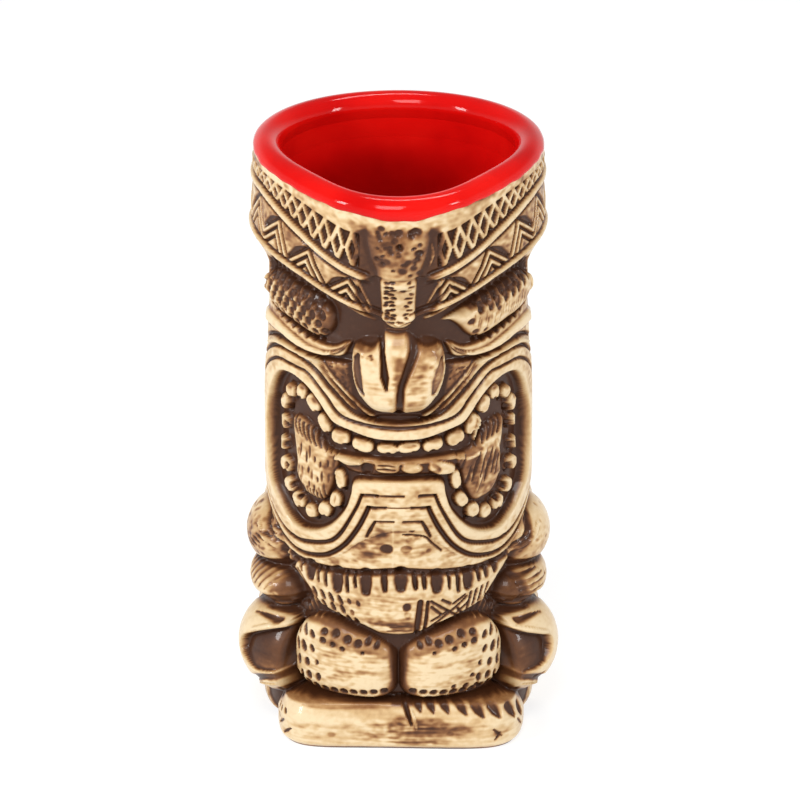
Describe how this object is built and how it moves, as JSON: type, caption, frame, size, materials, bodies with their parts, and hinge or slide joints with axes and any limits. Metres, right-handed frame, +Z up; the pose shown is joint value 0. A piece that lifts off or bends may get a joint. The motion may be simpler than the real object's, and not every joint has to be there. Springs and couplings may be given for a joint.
{
  "type": "tiki mug",
  "caption": "Tall slip-cast ceramic drinking mug carved as a squatting tiki figure with a grimacing mask, with a red glazed inside and lip.",
  "frame": {"origin": "middle of the foot on the surface that the mug stands on, on the axis of the cavity", "axes": "+Z up along the cavity, -Y the way the face looks, +X to the viewer's right of the face"},
  "size_m": [0.087, 0.0798, 0.1599],
  "materials": {
    "stained_ceramic": "cream ceramic with a dark brown wash in the recesses under a thin clear glaze",
    "red_glaze": "thick glossy opaque red glaze"
  },
  "bodies": {
    "root": {"ceramic_body": "stained_ceramic", "red_glaze_lining": "red_glaze"}
  },
  "joints": []
}
